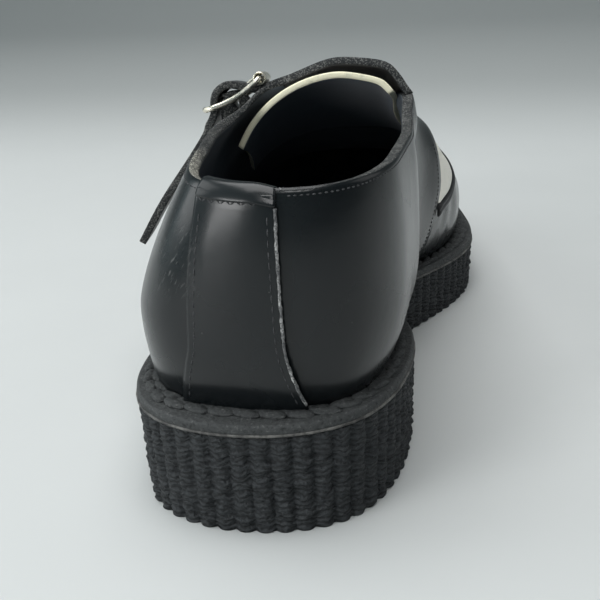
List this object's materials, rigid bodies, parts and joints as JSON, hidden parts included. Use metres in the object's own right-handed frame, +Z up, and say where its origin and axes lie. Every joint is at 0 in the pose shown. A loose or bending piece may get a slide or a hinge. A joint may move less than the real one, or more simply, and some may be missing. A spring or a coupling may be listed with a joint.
{
  "type": "creeper shoe",
  "caption": "Left monk-strap creeper shoe: thick ribbed wedge sole, broad welt, hollow leather upper with a white apron front, and a strap buckled over the instep.",
  "frame": {"origin": "on the floor, under the middle of the shoe's box", "axes": "+Y from heel to toe, +X to the inner side of the foot, +Z up from the floor"},
  "size_m": [0.117, 0.305, 0.1148],
  "materials": {
    "sole_rubber": "matt charcoal crepe rubber with upright ribs",
    "welt_leather": "dull black-brown welt with plaited stitching",
    "insole_lining": "soft black lining leather",
    "black_leather": "polished smooth black leather with raw cut edges",
    "white_leather": "smooth off-white leather, aged to cream at its cut edges",
    "buckle_metal": "pale nickel-gold plated metal, lightly worn"
  },
  "bodies": {
    "root": {"outsole": "sole_rubber", "welt": "welt_leather", "insole": "insole_lining", "upper": "black_leather", "apron_band": "black_leather", "backstay": "black_leather", "heel_binding": "black_leather", "strap": "black_leather", "buckle_tab": "black_leather", "apron": "white_leather", "tongue": "white_leather", "buckle_frame": "buckle_metal", "buckle_bar": "buckle_metal", "buckle_roller": "buckle_metal", "buckle_prong": "buckle_metal"}
  },
  "joints": []
}
